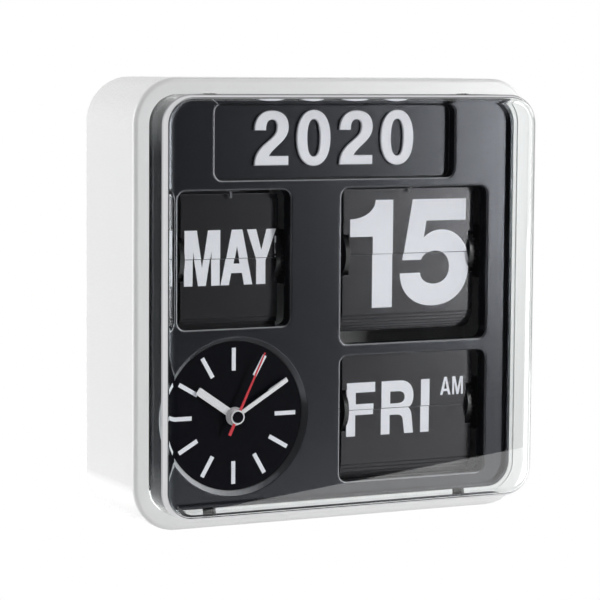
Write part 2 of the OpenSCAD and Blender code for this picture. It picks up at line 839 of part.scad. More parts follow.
// Drum: a hub with two rims, grooved on the inside for the ears of the leaves
module flip_drum(m) {
    inner = rim_x(m);
    outer = inner + rim_w;
    holes = 6;
    hole_r = 1;
    color("#1b1b1e") upright() translate([m[0], m[1], axle_d]) rotate([0, 90, 0]) difference() {
        union() {
            translate([0, 0, -outer]) cylinder(r = hub_r, h = 2 * outer);
            for (x = [-outer, inner])
                translate([0, 0, x]) cylinder(r = drum_rim_r, h = rim_w);
            translate([0, 0, outer]) cylinder(r = boss_r, h = gear_x(m) + gear_t - outer);
        }
        translate([0, 0, -outer - over])
            cylinder(r = axle_r + run_gap, h = 2 * outer + gear_t + 3);
        for (x = [-inner - groove_w, inner]) translate([0, 0, x]) difference() {
            cylinder(r = groove_outer_r, h = groove_w);
            translate([0, 0, -over]) cylinder(r = groove_inner_r, h = groove_w + 2 * over);
        }
        for (a = [0:360 / holes:359]) rotate([0, 0, a])
            translate([(hub_r + groove_inner_r) / 2, 0, -outer - over])
                cylinder(r = hole_r, h = 2 * outer + 2 * over);
    }
}

// Spur gear outline with straight flanks: one tooth points along +X
module gear_outline(teeth) {
    pitch_r = gear_module * teeth / 2;
    root_r = pitch_r - 1.2 * gear_module;
    tip_r = pitch_r + 0.95 * gear_module;
    thick = PI * gear_module / 2 - tooth_play;
    flank = gear_module * tan(20);
    circle(root_r);
    for (i = [0:teeth - 1]) rotate(i * 360 / teeth) polygon([
        [root_r - gear_module / 2, -thick / 2 - flank], [root_r, -thick / 2 - flank],
        [pitch_r, -thick / 2], [tip_r, -thick / 2 + flank], [tip_r, thick / 2 - flank],
        [pitch_r, thick / 2], [root_r, thick / 2 + flank],
        [root_r - gear_module / 2, thick / 2 + flank]]);
}

module flip_gear(m) {
    color("#d8d4c4") upright() translate([m[0] + gear_x(m), m[1], axle_d])
        rotate([0, 90, 0]) linear_extrude(gear_t) difference() {
            rotate(180 / gear_teeth) gear_outline(gear_teeth);
            circle(boss_r + press_gap);
        }
}

// Pinion with its motor shaft
module flip_pinion(m) {
    color("#c9a64e") upright() translate([m[0], m[1], pinion_d]) {
        translate([gear_x(m), 0, 0]) rotate([0, 90, 0])
            linear_extrude(gear_t) gear_outline(pinion_teeth);
        cross_bar(gear_x(m), motor_x(m) + motor_l / 2, 0, 0, shaft_r);
    }
}

// Small can motor outside the bracket
module flip_motor(m) {
    x0 = m[0] + motor_x(m);
    boss_l = 1;
    color("#b4b6ba") upright() difference() {
        union() {
            cross_bar(x0, x0 + motor_l, m[1], pinion_d, motor_r);
            cross_bar(x0 + motor_l, x0 + motor_l + boss_l, m[1], pinion_d, motor_r / 3);
        }
        cross_bar(x0 - over, x0 + motor_l / 2 + end_play, m[1], pinion_d, shaft_r + run_gap);
    }
}

// Leaf outline: pivot line at the origin, notched at both ends, with a pivot ear on each side
module leaf_outline(m) {
    narrow = narrow_x(m);
    translate([-narrow, -leaf_edge(m)]) square([2 * narrow, notch_l + leaf_edge(m) + over]);
    translate([-half_w(m), notch_l]) square([m[2], m[3] - notch_l]);
    translate([-narrow - ear_l, -ear_h / 2]) square([2 * (narrow + ear_l), ear_h]);
}

module leaf_at(m, pivot_angle, turn) {
    translate([m[0], m[1] + pivot_r * sin(pivot_angle), axle_d + pivot_r * cos(pivot_angle)])
        rotate([turn, 0, 0]) linear_extrude(leaf_t, center = true) leaf_outline(m);
}

// All leaves but the front one: the lower half hangs, the upper half fans over the drum
module flip_leaf_pack(m) {
    step = step_angle(m);
    hanging = floor(m[4] / 2);
    fanned = m[4] - hanging;
    color("#3a3a3d") upright() {
        for (k = [0:hanging - 1]) leaf_at(m, -(k + 0.5) * step, 180);
        for (k = [1:fanned - 1]) leaf_at(m, (k + 0.5) * step, -(k - 1) * step);
    }
}

// Front leaf, next to fall
module flip_falling_leaf(m) {
    color("#47474a") upright() translate([m[0], hinge_y(m), leaf_d])
        linear_extrude(leaf_t, center = true) leaf_outline(m);
}

// Thin finger under the window's top edge that holds the front leaf back
module flip_stop_finger(m, window_top) {
    foot_w = 6;
    blade_w = 1.2;
    sheet = 0.5;
    blade_back = collar_back + 0.2;
    tip_y = hinge_y(m) + m[3] + leaf_gap;
    color("#9a9ca0") upright() translate([m[0], 0, 0]) {
        translate([-foot_w / 2, window_top - sheet, blade_back]) cube([foot_w, sheet, 3]);
        translate([-blade_w / 2, tip_y, blade_back])
            cube([blade_w, max(window_top - tip_y, sheet), sheet]);
    }
}

module month_bracket() { flip_bracket(MONTH); }
module month_axle() { flip_axle(MONTH); }
module month_drum() { flip_drum(MONTH); }
module month_gear() { flip_gear(MONTH); }
module month_leaf_pack() { flip_leaf_pack(MONTH); }
module month_falling_leaf() { flip_falling_leaf(MONTH); }
module month_stop_finger() { flip_stop_finger(MONTH, month_window_top); }
module month_motor() { flip_motor(MONTH); }
module month_pinion() { flip_pinion(MONTH); }

module date_bracket() { flip_bracket(DATE); }
module date_axle() { flip_axle(DATE); }
module date_drum() { flip_drum(DATE); }
module date_gear() { flip_gear(DATE); }
module date_leaf_pack() { flip_leaf_pack(DATE); }
module date_falling_leaf() { flip_falling_leaf(DATE); }
module date_stop_finger() { flip_stop_finger(DATE, date_window_top); }
module date_motor() { flip_motor(DATE); }
module date_pinion() { flip_pinion(DATE); }

module weekday_bracket() { flip_bracket(WEEKDAY); }
module weekday_axle() { flip_axle(WEEKDAY); }
module weekday_drum() { flip_drum(WEEKDAY); }
module weekday_gear() { flip_gear(WEEKDAY); }
module weekday_leaf_pack() { flip_leaf_pack(WEEKDAY); }
module weekday_falling_leaf() { flip_falling_leaf(WEEKDAY); }
module weekday_stop_finger() { flip_stop_finger(WEEKDAY, weekday_window_top); }
module weekday_motor() { flip_motor(WEEKDAY); }
module weekday_pinion() { flip_pinion(WEEKDAY); }

// Rear cover: flush in the case, with a keyhole, battery bay, knob well and button holes
module keyhole_outline() {
    circle(keyhole_r);
    translate([0, keyhole_l]) circle(keyhole_slot_r);
    translate([-keyhole_slot_r, 0]) square([2 * keyhole_slot_r, keyhole_l]);
}

module rear_screw_spots() {
    in_corners(post_x, post_y) children();
}

module button_places() {
    for (i = [-1:1]) translate([i * button_pitch, button_y, 0]) children();
}

module board_post_spots() {
    translate([0, board_y, 0]) in_corners(board_post_x, board_post_y) children();
}

module rear_cover() {
    color("#f2f2f2") upright() difference() {
        union() {
            slab(0, rear_t) case_outline(flange_inset);
            translate([bay_x, bay_y, 0]) slab(0, bay_floor + bay_t)
                round_rect(bay_w + 2 * bay_t, bay_h + 2 * bay_t, 2);
            post(knob_x, knob_y, knob_well_r + well_t, 0, knob_well_d + well_t);
            board_post_spots() post(0, 0, board_post_r, 0, board_back);
        }
        translate([bay_x, bay_y, 0]) slab(-over, bay_floor) square([bay_w, bay_h], center = true);
        cross_bar(bay_x - door_w / 2 - hinge_pin_l - fit_gap, bay_x + door_w / 2 + hinge_pin_l + fit_gap,
                  door_axis_y, door_axis_d, hinge_pin_r + run_gap);
        post(knob_x, knob_y, knob_well_r, -over, knob_well_d);
        post(knob_x, knob_y, knob_stem_r + 0.2, 0, knob_well_d + well_t + over);
        translate([0, keyhole_y, 0]) slab(-over, rear_t + over) keyhole_outline();
        button_places() post(0, 0, button_r + fit_gap, -over, rear_t + over);
        rear_screw_spots() {
            post(0, 0, screw_r + screw_gap, -over, rear_t + over);
            post(0, 0, screw_head_r + fit_gap, -over, rear_screw_sink + screw_head_t);
        }
        board_post_spots() post(0, 0, pilot_r, rear_t, board_back + over);
    }
}

// Battery door, hung on two pins at its top edge
module battery_door() {
    door_bottom = bay_y - bay_h / 2 + fit_gap;
    grip_w = 14;
    grip_d = 0.7;
    color("#f0f0f0") upright() difference() {
        union() {
            translate([bay_x - door_w / 2, door_bottom, door_back])
                cube([door_w, door_axis_y - door_bottom, door_t]);
            cross_bar(bay_x - door_w / 2, bay_x + door_w / 2, door_axis_y, door_axis_d, hinge_r);
            cross_bar(bay_x - door_w / 2 - hinge_pin_l, bay_x + door_w / 2 + hinge_pin_l,
                      door_axis_y, door_axis_d, hinge_pin_r);
        }
        for (i = [0:2])
            translate([bay_x - grip_w / 2, door_bottom + grip_start + grip_pitch * i, door_back - over])
                cube([grip_w, 1.2, grip_d + over]);
    }
}

// Two battery cells, laid opposite ways, each with its cap
module battery_cells() {
    cap_l = 1.2;
    color("#8a8d92") upright() for (s = [-1, 1])
        translate([bay_x, bay_y + s * (cell_r + cell_play / 2), 0]) mirror([s > 0 ? 1 : 0, 0, 0]) {
            cross_bar(-cell_l / 2, cell_l / 2 - cap_l, 0, cell_d, cell_r);
            cross_bar(cell_l / 2 - cap_l, cell_l / 2, 0, cell_d, cell_r * 0.38);
        }
}

// Sprung contact plates at both ends of the bay
module battery_contacts() {
    sheet = 0.4;
    dome_r = 3;
    dome_gap = 0.1;
    reach = (bay_w - cell_l) / 2;
    color("#c8c9cc") upright() for (s = [0, 1]) translate([bay_x, bay_y, 0]) mirror([s, 0, 0]) {
        translate([bay_w / 2 - sheet, -bay_h / 2 + 1, cell_d - cell_r + 1])
            cube([sheet, bay_h - 2, 2 * cell_r - 2]);
        for (t = [-1, 1])
            cross_bar(bay_w / 2 - reach + dome_gap, bay_w / 2 - sheet, t * (cell_r + cell_play / 2),
                      cell_d, dome_r);
    }
}

// Circuit board on the rear cover's posts, with one push switch behind each button
module control_board() {
    chip_w = 16;
    chip_h = 9;
    chip_t = 1.8;
    color("#1f5a3a") upright() difference() {
        union() {
            translate([0, board_y, 0]) slab(board_back, board_back + board_t)
                round_rect(board_w, board_h, 1.5);
            button_places() translate([-switch_side / 2, -switch_side / 2, switch_back])
                cube([switch_side, switch_side, board_back - switch_back]);
            translate([-chip_w / 2, board_y, board_back + board_t]) cube([chip_w, chip_h, chip_t]);
        }
        board_post_spots() post(0, 0, pilot_r + fit_gap, board_back - over, board_back + board_t + over);
    }
}

module set_button(i) {
    stem_r = 1.5;
    color("#55565a") upright() translate([i * button_pitch, button_y, 0]) {
        post(0, 0, button_r, button_back, rear_t + button_flange_t);
        post(0, 0, button_r + button_flange_out, rear_t, rear_t + button_flange_t);
        post(0, 0, stem_r, button_back, switch_back - button_travel);
    }
}

module month_button() { set_button(-1); }
module date_button() { set_button(0); }
module weekday_button() { set_button(1); }

// Pan-head screw: head towards the back, shank towards the front
module screw(head_r, shank_r, back, seat, front) {
    post(0, 0, head_r, back, seat);
    post(0, 0, shank_r, seat, front);
}

module rear_screws() {
    color("#b8babd") upright() rear_screw_spots()
        screw(screw_head_r, pilot_r - press_gap, rear_screw_sink, rear_screw_sink + screw_head_t,
              rear_t + rear_screw_l);
}

// Screws that hold the brackets, the movement and the board
module module_screws() {
    color("#b8babd") upright() {
        for (m = [MONTH, DATE, WEEKDAY]) foot_spots(m)
            screw(small_head_r, pilot_r - press_gap, foot_front - bracket_t - small_head_t,
                  foot_front - bracket_t,
                  face_back - 0.5);
        movement_spots()
            screw(small_head_r, pilot_r - press_gap, dial_back - movement_ear_t - small_head_t,
                  dial_back - movement_ear_t, face_back);
        mirror([0, 0, 1]) board_post_spots()
            screw(small_head_r, pilot_r - press_gap, -board_back - board_t - small_head_t,
                  -board_back - board_t,
                  -rear_t - 1);
    }
}

module faceplate_screws() {
    color("#b8babd") upright() flange_screw_spots()
        screw(flange_screw_head_r, flange_pilot_r - press_gap, face_back - screw_head_t, face_back,
              case_depth - screw_head_t);
}

case();
rear_cover();
battery_door();
clear_cover();
faceplate();
year_plate();
dial();
hour_markers();
hour_hand();
minute_hand();
second_hand();
second_cap();
movement();
hour_tube();
minute_arbor();
second_arbor();
time_set_knob();
month_bracket();
month_axle();
month_drum();
month_gear();
month_leaf_pack();
month_falling_leaf();
month_stop_finger();
month_motor();
month_pinion();
date_bracket();
date_axle();
date_drum();
date_gear();
date_leaf_pack();
date_falling_leaf();
date_stop_finger();
date_motor();
date_pinion();
weekday_bracket();
weekday_axle();
weekday_drum();
weekday_gear();
weekday_leaf_pack();
weekday_falling_leaf();
weekday_stop_finger();
weekday_motor();
weekday_pinion();
control_board();
battery_cells();
battery_contacts();
month_button();
date_button();
weekday_button();
rear_screws();
module_screws();
faceplate_screws();
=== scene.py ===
import math

import bpy
from mathutils import Matrix, Vector


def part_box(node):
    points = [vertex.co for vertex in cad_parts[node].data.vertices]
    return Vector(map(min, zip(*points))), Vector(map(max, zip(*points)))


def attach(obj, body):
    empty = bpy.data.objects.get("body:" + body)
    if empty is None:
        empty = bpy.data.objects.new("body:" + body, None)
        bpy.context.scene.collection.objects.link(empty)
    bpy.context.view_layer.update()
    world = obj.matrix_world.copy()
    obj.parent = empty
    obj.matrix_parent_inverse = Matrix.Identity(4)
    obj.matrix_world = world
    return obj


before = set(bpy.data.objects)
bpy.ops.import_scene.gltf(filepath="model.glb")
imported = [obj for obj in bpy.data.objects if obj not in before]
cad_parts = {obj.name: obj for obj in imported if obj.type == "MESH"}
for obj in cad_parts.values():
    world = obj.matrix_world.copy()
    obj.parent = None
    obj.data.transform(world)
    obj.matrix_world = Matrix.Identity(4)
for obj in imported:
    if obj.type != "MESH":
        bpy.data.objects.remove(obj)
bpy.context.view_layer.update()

# Camera: a long lens from the front left, a little above the middle of the clock, as in a
# catalogue picture. It rolls by less than half a degree.
LENS, SENSOR = 149.24, 36.0
STAND = (-0.537997, -1.109179, 0.112007)
azimuth, elevation, roll = (math.radians(a) for a in (-26.263, 5.443, 0.396))
camera_data = bpy.data.cameras.new("camera")
camera_data.lens = LENS
camera_data.sensor_width = SENSOR
camera = bpy.data.objects.new("camera", camera_data)
bpy.context.scene.collection.objects.link(camera)
level = Vector((math.cos(azimuth), math.sin(azimuth), 0))
back = Vector((math.sin(azimuth) * math.cos(elevation),
               -math.cos(azimuth) * math.cos(elevation), math.sin(elevation)))
upward = back.cross(level)
right = level * math.cos(roll) + upward * math.sin(roll)
upward = upward * math.cos(roll) - level * math.sin(roll)
turn = Matrix((right, upward, back)).transposed().to_4x4()
camera.matrix_world = Matrix.Translation(STAND) @ turn
bpy.context.scene.camera = camera
bpy.context.scene.view_settings.view_transform = "Standard"

# Studio: a pale table top some way below the hanging clock, a white room behind it and a dim
# room in front. Soft boxes stand at the left, above, below and at the right, with a strip light.
TABLE_Z = -0.35
TABLE_CORNERS = {0: (-0.75, -0.814), 1: (2.4, -2.22), 3: (3.2, 6.0), 2: (0.1, 6.0)}
SHADE_TO, WHITE_FROM = 0.45, 0.75
TABLE_REFLECTION_BOOST = 0.9
TABLE_ROUGHNESS = 0.6
bpy.ops.object.select_all(action="DESELECT")
bpy.ops.mesh.primitive_plane_add(size=1.0, location=(0, 0, 0))
table = bpy.context.object
table.name = "table_top"
for index, (x, y) in TABLE_CORNERS.items():
    table.data.vertices[index].co = (x, y, TABLE_Z)


def new_material(name):
    material = bpy.data.materials.new(name)
    material.use_nodes = True
    tree = material.node_tree
    return material, tree, tree.nodes["Principled BSDF"]


def ink(code):
    parts = [int(code[i:i + 2], 16) / 255 for i in (1, 3, 5)]
    return tuple(((p + 0.055) / 1.055) ** 2.4 if p > 0.04045 else p / 12.92 for p in parts) + (1.0,)


def plug_in(tree, node, plugs):
    for name, value in plugs.items():
        if isinstance(value, bpy.types.NodeSocket):
            tree.links.new(value, node.inputs[name])
        else:
            node.inputs[name].default_value = value


def wire(tree, kind, plugs, **settings):
    node = tree.nodes.new("ShaderNode" + kind)
    for name, value in settings.items():
        setattr(node, name, value)
    plug_in(tree, node, plugs)
    return node


def worked(tree, operation, *values):
    return wire(tree, "Math", dict(enumerate(values)), operation=operation).outputs["Value"]


def product(tree, first, *others):
    for other in others:
        first = worked(tree, "MULTIPLY", first, other)
    return first


def vectors(tree, operation, *values):
    return wire(tree, "VectorMath", dict(enumerate(values)), operation=operation).outputs


def parted(tree, vector):
    return wire(tree, "SeparateXYZ", {0: vector}).outputs


def ramp(tree, value, start, end, low=0.0, high=1.0, curve="LINEAR"):
    plugs = {"Value": value, "From Min": start, "From Max": end, "To Min": low, "To Max": high}
    return wire(tree, "MapRange", plugs, interpolation_type=curve).outputs["Result"]


def tinted(tree, share, first, second):
    plugs = {"Factor": share, "A": first, "B": second}
    return wire(tree, "Mix", plugs, data_type="RGBA").outputs["Result"]


def over(tree, share, below, above):
    return wire(tree, "MixShader", {"Fac": share, 1: below, 2: above}).outputs["Shader"]


table_white, tree, shader = new_material("table_white")
place = wire(tree, "TexCoord", {}).outputs["Object"]
ray = wire(tree, "LightPath", {}).outputs
reach = vectors(tree, "LENGTH", place)["Value"]
seen = worked(tree, "MAXIMUM", ray["Is Camera Ray"], ray["Is Glossy Ray"])
seen = worked(tree, "MAXIMUM", seen, ray["Is Transmission Ray"])
white_share = product(tree, seen, ramp(tree, reach, SHADE_TO, WHITE_FROM))
# Painted reflection: the far table glows brighter in reflections than it looks straight on.
strength = worked(tree, "MULTIPLY_ADD", ray["Is Glossy Ray"], TABLE_REFLECTION_BOOST, 1.0)
glow = wire(tree, "Emission", {"Strength": strength})
grain = wire(tree, "TexNoise", {"Vector": place, "Scale": 3.0})
tone = wire(tree, "ValToRGB", {"Fac": grain.outputs["Fac"]})
tone.color_ramp.elements[0].color = ink("#E6E6E6")
tone.color_ramp.elements[1].color = ink("#F0F0F0")
plug_in(tree, shader, {"Base Color": tone.outputs["Color"], "Roughness": TABLE_ROUGHNESS})
table_top = over(tree, white_share, shader.outputs["BSDF"], glow.outputs["Emission"])
plug_in(tree, tree.nodes["Material Output"], {"Surface": table_top})
table.data.materials.append(table_white)

WHITE = (1, 1, 1, 1)
DIM_ROOM = (0.02, 0.02, 0.022, 1)
FILL_LIGHT = (0.23, 0.23, 0.235, 1)
TO_BACKDROP = (0.4425, 0.8967, 0)
BACKDROP_FROM, BACKDROP_FULL = 0.72, 0.86
world = bpy.data.worlds.new("studio")
bpy.context.scene.world = world
world.use_nodes = True
tree = world.node_tree
tree.nodes.clear()
way = wire(tree, "TexCoord", {}).outputs["Generated"]
ray = wire(tree, "LightPath", {}).outputs
aside = vectors(tree, "DOT_PRODUCT", way, TO_BACKDROP)["Value"]
mirrored = tinted(tree, ramp(tree, aside, BACKDROP_FROM, BACKDROP_FULL), DIM_ROOM, WHITE)
bounced = worked(tree, "MAXIMUM", ray["Is Glossy Ray"], ray["Is Transmission Ray"])
room = tinted(tree, bounced, FILL_LIGHT, mirrored)
sky = wire(tree, "Background", {"Color": tinted(tree, ray["Is Camera Ray"], room, WHITE)})
wire(tree, "OutputWorld", {"Surface": sky.outputs["Background"]})

SOFT_BOXES = (
    ("left_box", (-1.3, 0.6, 0.25), (-0.1, 0, 0), (0.9, 1.2), 19.0),
    ("top_box", (0, -0.3, 1.3), (0, -0.03, 0), (1.2, 0.8), 3.2),
    ("strip_box", (0.9, -1.15, 0.22), (0, -0.05, 0.1), (0.2, 0.75), 10.4),
    ("low_box", (-0.5, -0.7, -0.7), (0, -0.05, -0.08), (0.6, 0.6), 2.0),
    ("side_box", (1.25, 0, 0.55), (0, -0.05, 0), (0.7, 0.7), 5.5),
)
for name, spot, aim, size, power in SOFT_BOXES:
    lamp = bpy.data.lights.new(name, "AREA")
    lamp.shape = "RECTANGLE"
    lamp.size, lamp.size_y = size
    lamp.energy = power
    box = bpy.data.objects.new(name, lamp)
    bpy.context.scene.collection.objects.link(box)
    facing = (Vector(aim) - Vector(spot)).to_track_quat("-Z", "Y").to_matrix().to_4x4()
    box.matrix_world = Matrix.Translation(spot) @ facing

# Case, rear cover and battery door: white moulded plastic with a satin gloss. The rear cover
# is screwed to four posts in the case, and the door hangs on two pins in the rear cover.
MM = 0.001
GRAIN_DEPTH = 0.05 * MM
FLOW_SCALE, FLOW_DETAIL = 18.0, 4.0
SPARK_DETAIL = 2.0
SPARK_LOW, SPARK_HIGH = 0.35, 0.65


def new_group(name, takes, gives):
    group = bpy.data.node_groups.new(name, "ShaderNodeTree")
    for socket, value in takes.items():
        kind = "NodeSocketFloat" if isinstance(value, float) else "NodeSocketColor"
        taken = group.interface.new_socket(name=socket, in_out="INPUT", socket_type=kind)
        taken.default_value = value
    for socket, kind in gives.items():
        group.interface.new_socket(name=socket, in_out="OUTPUT", socket_type=kind)
    return group, group.nodes.new("NodeGroupInput").outputs, group.nodes.new("NodeGroupOutput")


moulding, take, give = new_group(
    "moulded surface",
    {"Colour": (0.8, 0.8, 0.8, 1), "Shade": (0.7, 0.7, 0.7, 1), "Grain": 2000.0,
     "Gloss from": 0.3, "Gloss to": 0.4},
    {"Colour": "NodeSocketColor", "Roughness": "NodeSocketFloat", "Height": "NodeSocketFloat"})
place = wire(moulding, "TexCoord", {}).outputs["Object"]
flow = wire(moulding, "TexNoise", {"Vector": place, "Scale": FLOW_SCALE, "Detail": FLOW_DETAIL})
spark = wire(moulding, "TexNoise", {"Vector": place, "Scale": take["Grain"], "Detail": SPARK_DETAIL})
plug_in(moulding, give, {
    "Colour": tinted(moulding, flow.outputs["Fac"], take["Colour"], take["Shade"]),
    "Roughness": ramp(moulding, spark.outputs["Fac"], SPARK_LOW, SPARK_HIGH,
                      take["Gloss from"], take["Gloss to"]),
    "Height": spark.outputs["Fac"]})


def moulded(name, colour, shade, grain, gloss, bump):
    material, tree, shader = new_material(name)
    surface = wire(tree, "Group", {}, node_tree=moulding, name="surface")
    plug_in(tree, surface, {"Colour": ink(colour), "Shade": ink(shade), "Grain": grain,
                            "Gloss from": gloss[0], "Gloss to": gloss[1]})
    relief = surface.outputs["Height"]
    dimple = wire(tree, "Bump", {"Height": relief, "Strength": bump, "Distance": GRAIN_DEPTH}, name="dimple")
    plug_in(tree, shader, {"Base Color": surface.outputs["Colour"],
                           "Roughness": surface.outputs["Roughness"],
                           "Normal": dimple.outputs["Normal"]})
    return material


def finish_nodes(material, *names):
    for name in names:
        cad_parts[name].material_slots[0].material = material


white_plastic = moulded("white_plastic", "#EDEDEC", "#EAEAEA", 2600, (0.26, 0.32), 0.02)
finish_nodes(white_plastic, "case", "rear_cover", "battery_door")

# Setting parts at the back: a knurled black knob on the movement and three grey buttons that
# press the switches of the board. All are small mouldings.
black_plastic = moulded("black_plastic", "#121214", "#17171A", 2200, (0.3, 0.4), 0.2)
grey_plastic = moulded("grey_plastic", "#606166", "#58595E", 2200, (0.4, 0.5), 0.3)
finish_nodes(black_plastic, "time_set_knob")
finish_nodes(grey_plastic, "month_button", "date_button", "weekday_button")

# Metal pieces: plated steel screws, axles, motor cans and contacts, turned brass arbors and
# pinions, and brackets folded from black-finished sheet, which carry the grey moulded stop fingers.
BRUSH_SCALE = (200, 4000, 4000)
BRUSH_DULL = 0.25
brushing, take, give = new_group(
    "brushed metal",
    {"Colour": (0.6, 0.6, 0.6, 1), "Shade": (0.5, 0.5, 0.5, 1), "Gloss": 0.3},
    {"Colour": "NodeSocketColor", "Roughness": "NodeSocketFloat"})
place = wire(brushing, "TexCoord", {}).outputs["Object"]
stretch = wire(brushing, "Mapping", {"Vector": place, "Scale": BRUSH_SCALE})
lines = wire(brushing, "TexNoise", {"Vector": stretch.outputs["Vector"], "Scale": 1.0}).outputs["Fac"]
plug_in(brushing, give, {
    "Colour": tinted(brushing, lines, take["Colour"], take["Shade"]),
    "Roughness": worked(brushing, "MULTIPLY_ADD", lines, BRUSH_DULL, take["Gloss"])})


def brushed(name, colour, shade, gloss):
    material, tree, shader = new_material(name)
    surface = wire(tree, "Group", {}, node_tree=brushing, name="surface")
    plug_in(tree, surface, {"Colour": ink(colour), "Shade": ink(shade), "Gloss": gloss})
    plug_in(tree, shader, {"Metallic": 1.0, "Base Color": surface.outputs["Colour"],
                           "Roughness": surface.outputs["Roughness"]})
    return material


MODULES = ("month", "date", "weekday")
steel = brushed("plated_steel", "#C9CACC", "#A9ABAF", 0.18)
brass = brushed("turned_brass", "#CDB36B", "#B0954E", 0.2)
sheet = brushed("black_sheet", "#1E1F22", "#17181A", 0.35)
finish_nodes(steel, "rear_screws", "module_screws", "faceplate_screws", "second_arbor", "battery_contacts")
finish_nodes(brass, "hour_tube", "minute_arbor")
for module in MODULES:
    finish_nodes(steel, module + "_axle", module + "_motor")
    finish_nodes(grey_plastic, module + "_stop_finger")
    finish_nodes(brass, module + "_pinion")
    finish_nodes(sheet, module + "_bracket")

# Movement, drums and gears: the movement and the drums are black mouldings, and the gears are
# black acetal. The leaf ears run in grooves inside the drum rims.
gear_plastic = moulded("black_acetal", "#1B1B1E", "#202024", 1800, (0.35, 0.45), 0.2)
finish_nodes(black_plastic, "movement")
for module in MODULES:
    finish_nodes(black_plastic, module + "_drum")
    finish_nodes(gear_plastic, module + "_gear")

# Control board and cells: a green circuit board on four posts, and two cells in plain grey
# jackets that lie opposite ways in the bay.
board_green = moulded("circuit_board", "#1E5237", "#2A6646", 900, (0.3, 0.4), 0.2)
cell_grey = moulded("cell_jacket", "#6E7176", "#7C7F84", 1200, (0.25, 0.3), 0.1)
finish_nodes(board_green, "control_board")
finish_nodes(cell_grey, "battery_cells")

# Flip leaves: thin dark film, hung by its ears between two drum rims. Each leaf carries half a
# reading on each side, printed in white. In the packs the edges that face up carry a painted
# highlight, a pale grey, and the lower edges of the hanging leaves are dull.
FILM_LOOK = ("#101012", "#121214", 2600, (0.225, 0.235), 0.004)
FILM_GLOSS = {"Specular Tint": (0.96, 0.94, 1, 1), "Specular IOR Level": 0.6}
TOP_HIGHLIGHT_R, HEM = 0.4 * MM, 1.1 * MM
LEAF_EDGE_HIGHLIGHT = ink("#77777C")
DULL_HEM = 0.95
TOP_HIGHLIGHT_TURN, HEM_TURN = (0.1, 0.4), (-0.08, -0.35)
leaf_film = moulded("leaf_film", *FILM_LOOK)
stack_film = moulded("stack_film", *FILM_LOOK)
print_white = moulded("white_print", "#F8F9FF", "#F3F4FC", 2600, (0.5, 0.62), 0.2)
for film in (leaf_film, stack_film):
    plug_in(film.node_tree, film.node_tree.nodes["Principled BSDF"], FILM_GLOSS)
for module in MODULES:
    finish_nodes(leaf_film, module + "_falling_leaf")
    finish_nodes(stack_film, module + "_leaf_pack")
tree = stack_film.node_tree
surface = tree.nodes["surface"].outputs
# Painted highlight: edges of the pack leaves that face up are mixed towards a pale grey.
edge = wire(tree, "Bevel", {"Radius": TOP_HIGHLIGHT_R}, samples=4).outputs["Normal"]
top_highlight_share = ramp(tree, parted(tree, edge)["Z"], *TOP_HIGHLIGHT_TURN)
hem = wire(tree, "Bevel", {"Radius": HEM}, samples=8).outputs["Normal"]
hemmed = ramp(tree, parted(tree, hem)["Z"], *HEM_TURN)
frayed = wire(tree, "Mix", {"Factor": hemmed, "A": surface["Roughness"], "B": DULL_HEM})
plug_in(tree, tree.nodes["Principled BSDF"], {
    "Base Color": tinted(tree, top_highlight_share, surface["Colour"], LEAF_EDGE_HIGHLIGHT),
    "Roughness": frayed.outputs["Result"]})

